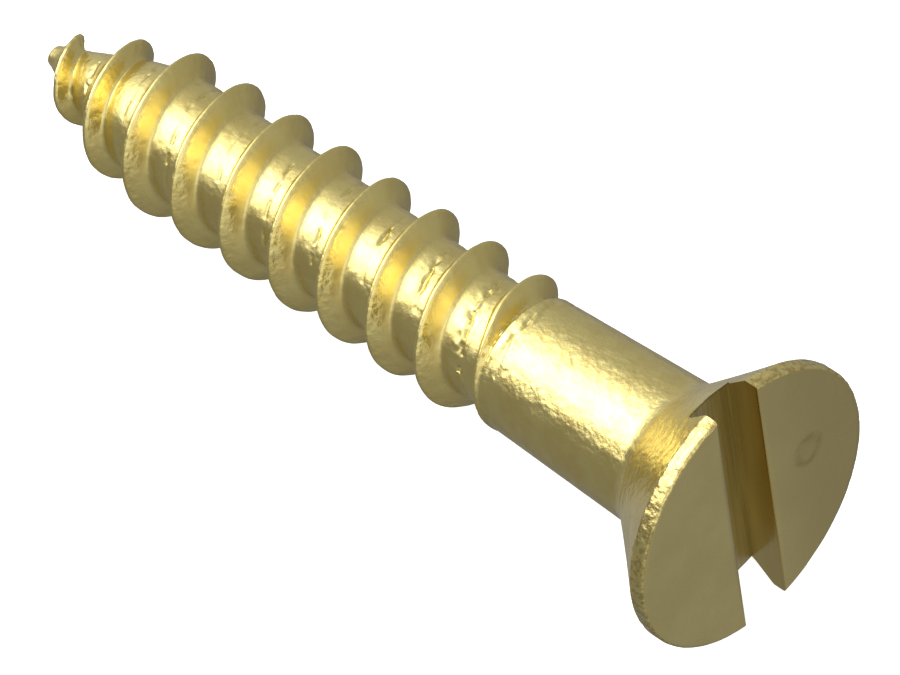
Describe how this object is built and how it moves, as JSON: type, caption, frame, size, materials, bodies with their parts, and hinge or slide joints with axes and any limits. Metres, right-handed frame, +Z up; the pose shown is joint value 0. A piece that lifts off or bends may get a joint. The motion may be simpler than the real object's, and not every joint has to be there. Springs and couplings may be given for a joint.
{
  "type": "wood screw",
  "caption": "Slotted countersunk wood screw: flat head with a straight slot and an 82 degree cone, plain tapered shank, raised single-start right-hand thread and a gimlet point.",
  "frame": {"origin": "centre of the footprint on the table, under the middle of the screw as it lies at rest", "axes": "+X towards the head, +Z up, +Y to the left of someone looking out of the head along +X; the slot is upright in the XZ plane and the screw's own axis leans 5.4 degrees down towards the point"},
  "size_m": [0.0256, 0.0082, 0.0081],
  "materials": {
    "brass": "bright, tumbled, with rolled flanks and small pits"
  },
  "bodies": {
    "root": {"wood_screw": "brass"}
  },
  "joints": []
}
